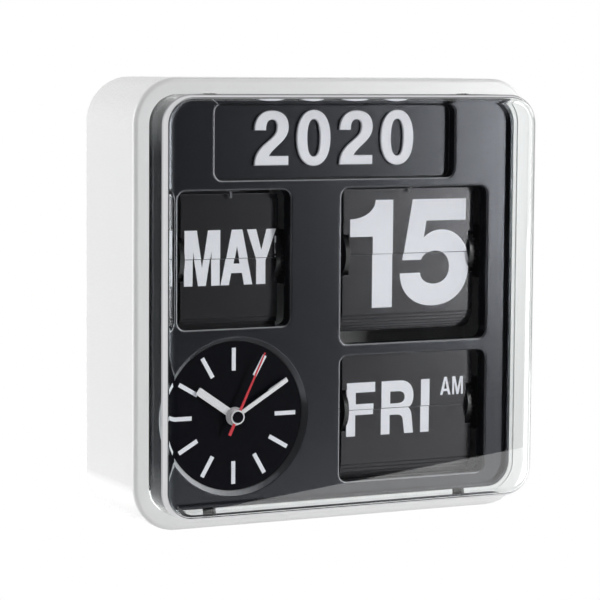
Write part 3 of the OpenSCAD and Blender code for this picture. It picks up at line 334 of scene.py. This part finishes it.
GLYPHS = {
    "0": "M .346 1.012 C .12 1.012 0 .8 0 .495 C 0 .19 .12 -.018 .346 -.018 "
         "C .57 -.018 .692 .19 .692 .495 C .692 .8 .57 1.012 .346 1.012 "
         "M .346 .84 C .25 .84 .216 .69 .216 .495 C .216 .29 .25 .155 .346 .155 "
         "C .44 .155 .477 .29 .477 .495 C .477 .69 .44 .84 .346 .84",
    "1": "M .237 0 L .447 0 L .447 1 L .263 1 C .263 .904 .151 .826 0 .826 L 0 .662 L .237 .662",
    "2": "M 0 0 L .688 0 L .688 .172 L .297 .172 C .33 .24 .42 .31 .5 .38 C .62 .48 .692 .57 .692 .7 "
         "C .692 .89 .56 1 .351 1 C .13 1 0 .87 0 .64 L .235 .636 C .235 .77 .27 .832 .355 .832 "
         "C .43 .832 .457 .78 .457 .706 C .457 .6 .4 .54 .319 .476 C .18 .37 0 .26 0 0",
    "5": "M .126 1 L .696 1 L .693 .798 L .272 .798 L .247 .642 C .3 .69 .36 .713 .436 .713 "
         "C .6 .713 .734 .58 .734 .375 C .734 .15 .58 0 .349 0 C .14 0 0 .13 0 .312 L .215 .312 "
         "C .215 .25 .28 .205 .36 .205 C .46 .205 .525 .27 .525 .362 C .525 .46 .46 .515 .366 .515 "
         "C .3 .515 .24 .48 .225 .433 L .024 .433",
    "6": "M .36 1.01 C .13 1.01 0 .8 0 .47 C 0 .16 .13 -.015 .37 -.015 C .58 -.015 .72 .12 .72 .33 "
         "C .72 .53 .6 .66 .42 .66 C .34 .66 .27 .63 .222 .575 C .23 .75 .28 .84 .37 .84 "
         "C .44 .84 .48 .8 .49 .735 L .7 .735 C .68 .91 .56 1.01 .36 1.01 "
         "M .365 .5 C .28 .5 .235 .43 .235 .33 C .235 .22 .28 .15 .365 .15 "
         "C .45 .15 .497 .22 .497 .33 C .497 .43 .45 .5 .365 .5",
    "M": "M 0 0 L .166 0 L .172 .62 L .274 0 L .426 0 L .528 .62 L .534 0 L .7 0 L .7 1 L .459 1 "
         "L .35 .32 L .241 1 L 0 1",
    "A": "M 0 0 L .165 0 L .208 .215 L .422 .215 L .465 0 L .63 0 L .42 1 L .21 1 "
         "M .315 .7 L .255 .385 L .375 .385",
    "Y": "M .197 0 L .382 0 L .382 .43 L .58 1 L .39 1 L .29 .62 L .185 1 L 0 1 L .197 .43",
    "J": "M .32 1 L .5 1 L .5 .3 C .5 .1 .41 -.015 .25 -.015 C .08 -.015 0 .1 0 .27 L 0 .33 L .175 .33 "
         "L .175 .27 C .175 .19 .2 .145 .25 .145 C .3 .145 .32 .19 .32 .27",
    "U": "M 0 1 L .18 1 L .18 .33 C .18 .21 .215 .15 .29 .15 C .365 .15 .4 .21 .4 .33 L .4 1 L .58 1 "
         "L .58 .33 C .58 .11 .48 -.015 .29 -.015 C .1 -.015 0 .11 0 .33",
    "N": "M 0 0 L .175 0 L .175 .62 L .4 0 L .58 0 L .58 1 L .405 1 L .405 .39 L .18 1 L 0 1",
    "F": "M 0 0 L .187 0 L .187 .395 L .557 .395 L .557 .6 L .187 .6 L .187 .815 L .59 .815 L .59 1 L 0 1",
    "R": "M 0 0 L .184 0 L .184 .36 L .324 .36 C .418 .36 .46 .32 .465 .24 L .496 0 L .684 0 L .656 .28 "
         "C .648 .38 .627 .45 .575 .485 C .648 .53 .677 .61 .677 .71 C .677 .89 .564 1 .397 1 L 0 1 "
         "M .184 .8 L .345 .8 C .439 .8 .49 .76 .49 .69 C .49 .62 .439 .575 .345 .575 L .184 .575",
    "I": "M 0 0 L .183 0 L .183 1 L 0 1",
    "a": "M 0 0 L .14 0 L .205 .21 L .455 .21 L .52 0 L .66 0 L .41 1 L .25 1 "
         "M .33 .8 L .245 .335 L .415 .335",
    "m": "M 0 0 L .125 0 L .125 .72 L .275 0 L .405 0 L .555 .72 L .555 0 L .68 0 L .68 1 L .49 1 "
         "L .34 .32 L .19 1 L 0 1",
    "p": "M 0 0 L .135 0 L .135 .38 L .32 .38 C .48 .38 .56 .5 .56 .69 C .56 .88 .48 1 .32 1 L 0 1 "
         "M .135 .87 L .3 .87 C .38 .87 .42 .79 .42 .69 C .42 .58 .38 .51 .3 .51 L .135 .51",
}


def contours(path):
    for run in path.split("M")[1:]:
        parts = run.replace("L", "|L").replace("C", "|C").split("|")
        first = [float(v) for v in parts[0].split()]
        points = [[first, first, first]]
        for part in parts[1:]:
            values = [float(v) for v in part[1:].split()]
            end = values[-2:]
            if part[0] == "C":
                points[-1][2] = values[0:2]
                points.append([values[2:4], end, end])
            else:
                points.append([end, end, end])
        if points[-1][1] == first:
            points[0][0] = points[-1][0]
            points.pop()
        yield points


def outline(name, signs):
    bpy.ops.object.select_all(action="DESELECT")
    curve = bpy.data.curves.new(name, "CURVE")
    curve.dimensions = "2D"
    curve.fill_mode = "BOTH"
    curve.resolution_u = 10
    for sign, x, z, height in signs:
        for points in contours(GLYPHS[sign]):
            spline = curve.splines.new("BEZIER")
            spline.bezier_points.add(len(points) - 1)
            spline.use_cyclic_u = True
            for knot, (before, at, after) in zip(spline.bezier_points, points):
                knot.handle_left_type = knot.handle_right_type = "FREE"
                knot.handle_left, knot.co, knot.handle_right = (
                    ((x + p[0] * height) * MM, (z + p[1] * height) * MM, 0) for p in (before, at, after))
    piece = bpy.data.objects.new(name, curve)
    bpy.context.scene.collection.objects.link(piece)
    bpy.context.view_layer.objects.active = piece
    piece.select_set(True)
    return piece


def stand_up(piece, y):
    bpy.ops.object.convert(target="MESH")
    piece.rotation_euler = (math.pi / 2, 0, 0)
    piece.location = (0, y, 0)
    bpy.ops.object.transform_apply(location=True, rotation=True, scale=True)


INK_T, INK_LIFT = 0.03 * MM, 0.01 * MM
MERGE = 0.001 * MM


def printed(name, body, signs, face_y, cut_z, keep_upper, rise=0.0, hinge=None):
    piece = outline(name, signs)
    stand_up(piece, face_y - INK_LIFT)
    bpy.ops.object.mode_set(mode="EDIT")
    bpy.ops.mesh.select_all(action="SELECT")
    bpy.ops.mesh.remove_doubles(threshold=MERGE)
    bpy.ops.mesh.bisect(plane_co=(0, 0, cut_z), plane_no=(0, 0, 1), clear_inner=keep_upper,
                        clear_outer=not keep_upper)
    bpy.ops.mesh.select_all(action="SELECT")
    bpy.ops.mesh.extrude_region_move(TRANSFORM_OT_translate={"value": (0, -INK_T, 0)})
    bpy.ops.mesh.select_all(action="SELECT")
    bpy.ops.mesh.normals_make_consistent(inside=False)
    bpy.ops.object.mode_set(mode="OBJECT")
    piece.matrix_world = Matrix.Translation((0, 0, rise))
    if hinge is not None:
        about = Matrix.Translation(hinge) @ Matrix.Rotation(math.pi, 4, "X") @ Matrix.Translation(-hinge)
        piece.matrix_world = about @ piece.matrix_world
    bpy.ops.object.transform_apply(location=True, rotation=True, scale=True)
    piece.data.materials.append(print_white)
    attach(piece, body)


def word(foot, height, *letters):
    return [(sign, x, foot, height) for sign, x in letters]


AXLE_D, PIVOT_R, LEAF_T, SPLIT = 39.5, 9.5, 0.25, 0.3
HINGE_AHEAD = 0.4
MONTH_LEAVES, DATE_LEAVES, WEEKDAY_LEAVES = 24, 31, 28
UPPER_SPLIT_Z, LOWER_SPLIT_Z = 20.3, -55.2
MONTH_FOOT, MONTH_H = 7.8, 26.1
DATE_FOOT, DATE_H = -5.8, 52.3
DAY_FOOT, DAY_H = -68.1, 26.2
NOON_FOOT, NOON_H = -50.3, 8.9
friday = word(DAY_FOOT, DAY_H, ("F", 10.1), ("R", 29.1), ("I", 51.0))
readings = {
    "month": (UPPER_SPLIT_Z, MONTH_LEAVES,
              word(MONTH_FOOT, MONTH_H, ("M", -75.6), ("A", -56.9), ("Y", -43.6)),
              word(MONTH_FOOT, MONTH_H, ("J", -75.4), ("U", -60.6), ("N", -43.4))),
    "date": (UPPER_SPLIT_Z, DATE_LEAVES,
             word(DATE_FOOT, DATE_H, ("1", 11.1), ("5", 38.7)),
             word(DATE_FOOT, DATE_H, ("1", 11.1), ("6", 38.9))),
    "weekday": (LOWER_SPLIT_Z, WEEKDAY_LEAVES,
                friday + word(NOON_FOOT, NOON_H, ("a", 61.8), ("m", 68.6)),
                friday + word(NOON_FOOT, NOON_H, ("p", 62.4), ("m", 68.6))),
}
for module, (split_z, count, now, following) in readings.items():
    half = math.pi / count
    drop = PIVOT_R * math.sin(half)
    hinge = Vector((0, -(AXLE_D + PIVOT_R + HINGE_AHEAD) * MM, (split_z + drop) * MM))
    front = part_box(module + "_falling_leaf")[0].y
    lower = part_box(module + "_leaf_pack")[0].y
    behind = -(AXLE_D + PIVOT_R * math.cos(3 * half) + LEAF_T / 2) * MM
    raised = PIVOT_R * (math.sin(3 * half) - math.sin(half)) * MM
    upper_cut = (split_z + SPLIT / 2) * MM
    lower_cut = (split_z - SPLIT / 2) * MM
    printed(module + "_upper_print", module + "_leaf", now, front, upper_cut, True)
    printed(module + "_lower_print", "root", now, lower, lower_cut, False)
    printed(module + "_next_upper_print", "root", following, behind, upper_cut, True, rise=raised)
    printed(module + "_next_lower_print", module + "_leaf", following, front, lower_cut, False,
            rise=2 * drop * MM, hinge=hinge)

# Faceplate and year plate: charcoal mouldings with a faint blue cast. The plate lies loose in
# its recess, and its raised white figures are glued on. The edges of the windows carry a painted
# highlight, faint all round and strongest where they face right and up, and the sloping ring
# round the dial has a faint grey tone with painted light, paler where it faces right and up.
CHARCOAL_GLOSS = {"Specular Tint": (0.88, 0.9, 1, 1), "Specular IOR Level": 0.56}
# Painted light: pale greys mixed onto the window edges and onto the dial ring.
WINDOW_EDGE_HIGHLIGHT, RING_TONE_AND_LIGHT = ink("#C4C4C8"), ink("#C6C7CB")
DIAL_CENTRE = (-52.6 * MM, 0, -53.5 * MM)
RING_IN, RING_OUT = 35.25 * MM, 37.6 * MM
EDGE_R = 1.1 * MM
LIP_FROM = 92.5 * MM
RING_LIT_FROM, EDGE_LIT_FROM = (0.75, 0, 0.45), (0.8, 0, 0.35)
RING_LEAST, EDGE_LEAST = 0.075, 0.12
RING_TURN, EDGE_TURN, SHARP_TURN = (0.05, 0.6), (-0.1, 0.5), (0.99, 0.85)
SLOPE, SLOPE_SPAN = -0.55, 0.4
charcoal = moulded("charcoal_plastic", "#0A0B10", "#0C0D12", 1700, (0.215, 0.235), 0.004)
finish_nodes(charcoal, "faceplate", "year_plate")
tree = charcoal.node_tree
place = wire(tree, "TexCoord", {}).outputs["Object"]
normal = wire(tree, "NewGeometry", {}).outputs["True Normal"]
rounded = wire(tree, "Bevel", {"Radius": EDGE_R}, samples=6).outputs["Normal"]
flat = vectors(tree, "MULTIPLY", place, (1, 0, 1))["Vector"]
reach = vectors(tree, "DISTANCE", flat, DIAL_CENTRE)["Value"]
on_ring = worked(tree, "COMPARE", reach, (RING_IN + RING_OUT) / 2, (RING_OUT - RING_IN) / 2)
# Painted light on the dial ring: a faint grey all round, paler where its slope faces right and up.
ring_turn = vectors(tree, "DOT_PRODUCT", normal, RING_LIT_FROM)["Value"]
ring_light_share = product(tree, on_ring, ramp(tree, ring_turn, *RING_TURN, RING_LEAST))
with_ring_light = tinted(tree, ring_light_share, tree.nodes["surface"].outputs["Colour"], RING_TONE_AND_LIGHT)
# Painted highlight on the window edges: rounded and sloping edges turn pale, most where they face right and
# up.
sharp = ramp(tree, vectors(tree, "DOT_PRODUCT", rounded, normal)["Value"], *SHARP_TURN)
leaning = worked(tree, "COMPARE", parted(tree, normal)["Y"], SLOPE, SLOPE_SPAN)
edge_highlight_mask = worked(tree, "MAXIMUM", sharp, leaning)
off_ring = worked(tree, "GREATER_THAN", reach, RING_OUT + EDGE_R)
apart = parted(tree, vectors(tree, "ABSOLUTE", place)["Vector"])
inside_lip = worked(tree, "LESS_THAN", worked(tree, "MAXIMUM", apart["X"], apart["Z"]), LIP_FROM)
edge_turn = vectors(tree, "DOT_PRODUCT", normal, EDGE_LIT_FROM)["Value"]
edge_lit = ramp(tree, edge_turn, *EDGE_TURN, EDGE_LEAST)
edge_highlight_share = product(tree, edge_highlight_mask, off_ring, inside_lip, edge_lit)
plug_in(tree, tree.nodes["Principled BSDF"], CHARCOAL_GLOSS)
plug_in(tree, tree.nodes["Principled BSDF"], {"Base Color": tinted(tree, edge_highlight_share, with_ring_light, WINDOW_EDGE_HIGHLIGHT)})
plug_in(tree, tree.nodes["dimple"], {"Normal": rounded})
FIGURE_T, FIGURE_EDGE, FIGURE_LIFT = 1.5, 0.45, 0.01
SMOOTH_BELOW = math.radians(40)
YEAR_FOOT, YEAR_H = 64.0, 25.8
YEAR = word(YEAR_FOOT, YEAR_H, ("2", -41.95), ("0", -19.85), ("2", 2.75), ("0", 24.95))
year = outline("year_figures", YEAR)
year.data.extrude = (FIGURE_T / 2 - FIGURE_EDGE) * MM
year.data.bevel_depth = FIGURE_EDGE * MM
year.data.bevel_resolution = 3
year.data.offset = -FIGURE_EDGE * MM
stand_up(year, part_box("year_plate")[0].y - (FIGURE_T / 2 + FIGURE_LIFT) * MM)
bpy.ops.object.shade_smooth_by_angle(angle=SMOOTH_BELOW)
figure_white = moulded("figure_white", "#F1F1F8", "#EDEDF4", 1500, (0.4, 0.5), 0.2)
year.data.materials.append(figure_white)
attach(year, "root")

# Dial, markers and hands: a black printed disc with twelve white bars, two painted white hands, a
# red second hand and a black cap. The hands are pressed on their arbors.
DIAL_SPECULAR = 0.04
dial_black = moulded("dial_black", "#07070D", "#0A0A12", 2400, (0.3, 0.36), 0.02)
dial_black.node_tree.nodes["Principled BSDF"].inputs["Specular IOR Level"].default_value = DIAL_SPECULAR
hand_white = moulded("hand_white", "#F0EFF2", "#EBEAED", 1500, (0.35, 0.45), 0.1)
hand_red = moulded("hand_red", "#DC2C3A", "#D42635", 1500, (0.3, 0.4), 0.1)
finish_nodes(dial_black, "dial", "second_cap")
finish_nodes(print_white, "hour_markers")
finish_nodes(hand_white, "hour_hand", "minute_hand")
finish_nodes(hand_red, "second_hand")
CAP_R, CAP_RING_R, CAP_RING_T = 2.72 * MM, 3.45 * MM, 0.45 * MM
cap_x, cap_z = DIAL_CENTRE[0], DIAL_CENTRE[2]
bpy.ops.object.select_all(action="DESELECT")
bpy.ops.mesh.primitive_circle_add(vertices=64, radius=CAP_R, rotation=(math.pi / 2, 0, 0),
                                  location=(cap_x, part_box("second_cap")[1].y, cap_z))
cap_ring = bpy.context.object
cap_ring.name = "cap_ring"
bpy.ops.object.transform_apply(location=True, rotation=True, scale=True)
bpy.ops.object.mode_set(mode="EDIT")
bpy.ops.mesh.select_all(action="SELECT")
bpy.ops.mesh.extrude_region_move(TRANSFORM_OT_translate={"value": (0, 0, 0)})
bpy.ops.transform.resize(value=(CAP_RING_R / CAP_R, 1, CAP_RING_R / CAP_R),
                         center_override=(cap_x, 0, cap_z))
bpy.ops.mesh.select_all(action="SELECT")
bpy.ops.mesh.extrude_region_move(TRANSFORM_OT_translate={"value": (0, -CAP_RING_T, 0)})
bpy.ops.mesh.select_all(action="SELECT")
bpy.ops.mesh.normals_make_consistent(inside=False)
bpy.ops.object.mode_set(mode="OBJECT")
cap_ring.data.materials.append(hand_white)
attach(cap_ring, "second")

# Clear cover: one box of clear acrylic, moulded with rounded edges. Four barbed tabs snap it
# into slots behind the rim of the case. Its walls and left edge only bend light, its rounded
# front edge carries a painted glow seen only straight from the camera, with a painted dark
# outline along its upper part where it is seen edge-on, and light for what lies inside passes
# straight through.
ACRYLIC_IOR = 1.49
WALL_TO, EDGE_FROM = -74.3 * MM, -74.7 * MM
WALL_CALM = 0.88
CORNER_FROM, STRAIGHT_FROM = 94 * MM, 68 * MM
LEFT_EDGE_X, LEFT_EDGE_HALF = -94 * MM, 2.4 * MM
CORNER_CENTRE = (83.5 * MM, 1, 83.5 * MM)
INSIDE_R, OUTSIDE_R = 12.7 * MM, 12.9 * MM
EDGE_GLOW_PAINT, EDGE_GLOW_SHARE = (0.73, 0.73, 0.75, 1), 0.85
OUTLINE, OUTLINE_SHARE = (0.2, 0.2, 0.205, 1), 0.75
OUTLINE_NONE_Z, OUTLINE_FULL_Z = -90 * MM, -80 * MM
HAZE, HANDLED = 0.006, (0.45, 0.8)
SKIM = (0.56, 0.66)
ONE_WALL = 1.5
acrylic, tree, shader = new_material("clear_acrylic")
place = wire(tree, "TexCoord", {}).outputs["Object"]
ray = wire(tree, "LightPath", {}).outputs
handling = wire(tree, "TexNoise", {"Vector": place, "Scale": 30.0, "Detail": 6.0}).outputs["Fac"]
plug_in(tree, shader, {"Base Color": (0.985, 0.995, 0.99, 1), "IOR": ACRYLIC_IOR, "Transmission Weight": 1.0,
                       "Roughness": ramp(tree, handling, *HANDLED, 0.0, HAZE)})
at = parted(tree, place)
span = vectors(tree, "ABSOLUTE", place)["Vector"]
apart = parted(tree, span)
ahead = ramp(tree, at["Y"], WALL_TO, EDGE_FROM)
wall = ramp(tree, at["Y"], WALL_TO, EDGE_FROM, WALL_CALM, 0.0)
lesser = worked(tree, "MINIMUM", apart["X"], apart["Z"])
straight = ramp(tree, lesser, CORNER_FROM, STRAIGHT_FROM, curve="SMOOTHSTEP")
left_edge = worked(tree, "COMPARE", at["X"], LEFT_EDGE_X, LEFT_EDGE_HALF)
calm_share = worked(tree, "MAXIMUM", product(tree, wall, straight), product(tree, left_edge, ahead))
calm = wire(tree, "BsdfRefraction", {"Color": (0.95, 0.97, 0.965, 1), "Roughness": 0.0, "IOR": ACRYLIC_IOR})
calmed = over(tree, calm_share, shader.outputs["BSDF"], calm.outputs["BSDF"])
beyond = vectors(tree, "SUBTRACT", span, CORNER_CENTRE)["Vector"]
corner = vectors(tree, "MAXIMUM", beyond, (0, 0, 0))["Vector"]
outside = ramp(tree, vectors(tree, "LENGTH", corner)["Value"], INSIDE_R, OUTSIDE_R)
rounded_edge_zone = product(tree, outside, ahead)
# Painted glow: the rounded front edge shows a flat pale grey emission to the camera.
painted_glow = wire(tree, "Emission", {"Color": EDGE_GLOW_PAINT}).outputs["Emission"]
edged = over(tree, product(tree, rounded_edge_zone, EDGE_GLOW_SHARE, ray["Is Camera Ray"]), calmed, painted_glow)
# Painted shade: a dark grey outline along the upper rounded edge where it is seen edge-on.
skim = wire(tree, "LayerWeight", {}).outputs["Facing"]
skimmed = ramp(tree, skim, *SKIM, 0.0, OUTLINE_SHARE)
upper = ramp(tree, at["Z"], OUTLINE_NONE_Z, OUTLINE_FULL_Z)
painted_dark_outline = wire(tree, "Emission", {"Color": OUTLINE}).outputs["Emission"]
lined = over(tree, product(tree, skimmed, rounded_edge_zone, upper, ray["Is Camera Ray"]), edged, painted_dark_outline)
deep = worked(tree, "GREATER_THAN", ray["Transmission Depth"], ONE_WALL)
passing = worked(tree, "MAXIMUM", ray["Is Shadow Ray"], ray["Is Diffuse Ray"])
passing = worked(tree, "MAXIMUM", passing, product(tree, ray["Is Glossy Ray"], deep))
clear = wire(tree, "BsdfTransparent", {"Color": (0.99, 0.995, 0.995, 1)})
cover = over(tree, passing, lined, clear.outputs["BSDF"])
plug_in(tree, tree.nodes["Material Output"], {"Surface": cover})
finish_nodes(acrylic, "clear_cover")
